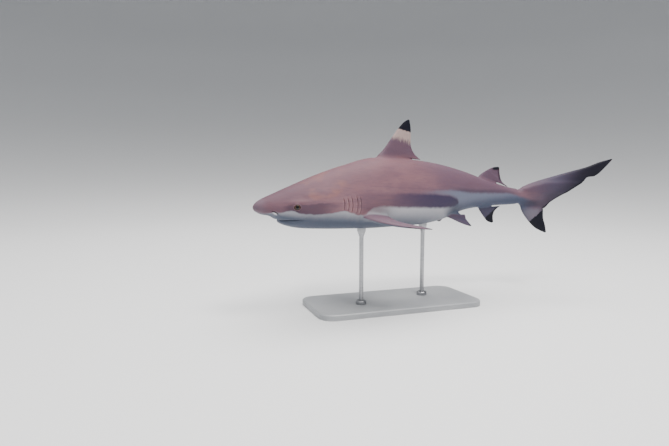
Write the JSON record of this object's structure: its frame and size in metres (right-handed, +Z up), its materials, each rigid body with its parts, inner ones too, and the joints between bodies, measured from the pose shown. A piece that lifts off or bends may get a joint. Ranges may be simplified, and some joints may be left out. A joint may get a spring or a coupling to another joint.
{
  "type": "blacktip reef shark",
  "caption": "Life-size still model of a swimming blacktip reef shark, its tail swept to one side, on a flat display base with upright rods.",
  "frame": {"origin": "middle of the stand base's underside", "axes": "+Z up, the snout points to -X, the tail to +X, and the shark's left side faces -Y"},
  "size_m": [1.3011, 0.4711, 0.6093],
  "materials": {
    "upper_skin": "satin rosy grey-brown skin with fine denticles, white below",
    "pale_skin": "satin white skin",
    "fin_skin": "satin skin, black at the tips",
    "eye": "glossy, a dark upright pupil in a brown iris",
    "grey_paint": "satin pale grey paint",
    "steel": "brushed"
  },
  "bodies": {
    "root": {"head": "upper_skin", "lower_jaw": "pale_skin", "gill_region": "upper_skin", "trunk_front": "upper_skin", "trunk_rear": "upper_skin", "tail_stock": "upper_skin", "first_dorsal_fin": "fin_skin", "second_dorsal_fin": "fin_skin", "anal_fin": "fin_skin", "caudal_fin_upper": "fin_skin", "caudal_fin_lower": "fin_skin", "pectoral_fin_left": "fin_skin", "pectoral_fin_right": "fin_skin", "pelvic_fin_left": "fin_skin", "pelvic_fin_right": "fin_skin", "eye_left": "eye", "eye_right": "eye", "stand_base": "grey_paint", "stand_rod_front": "steel", "stand_rod_rear": "steel", "stand_collar_front": "steel", "stand_collar_rear": "steel"}
  },
  "joints": []
}
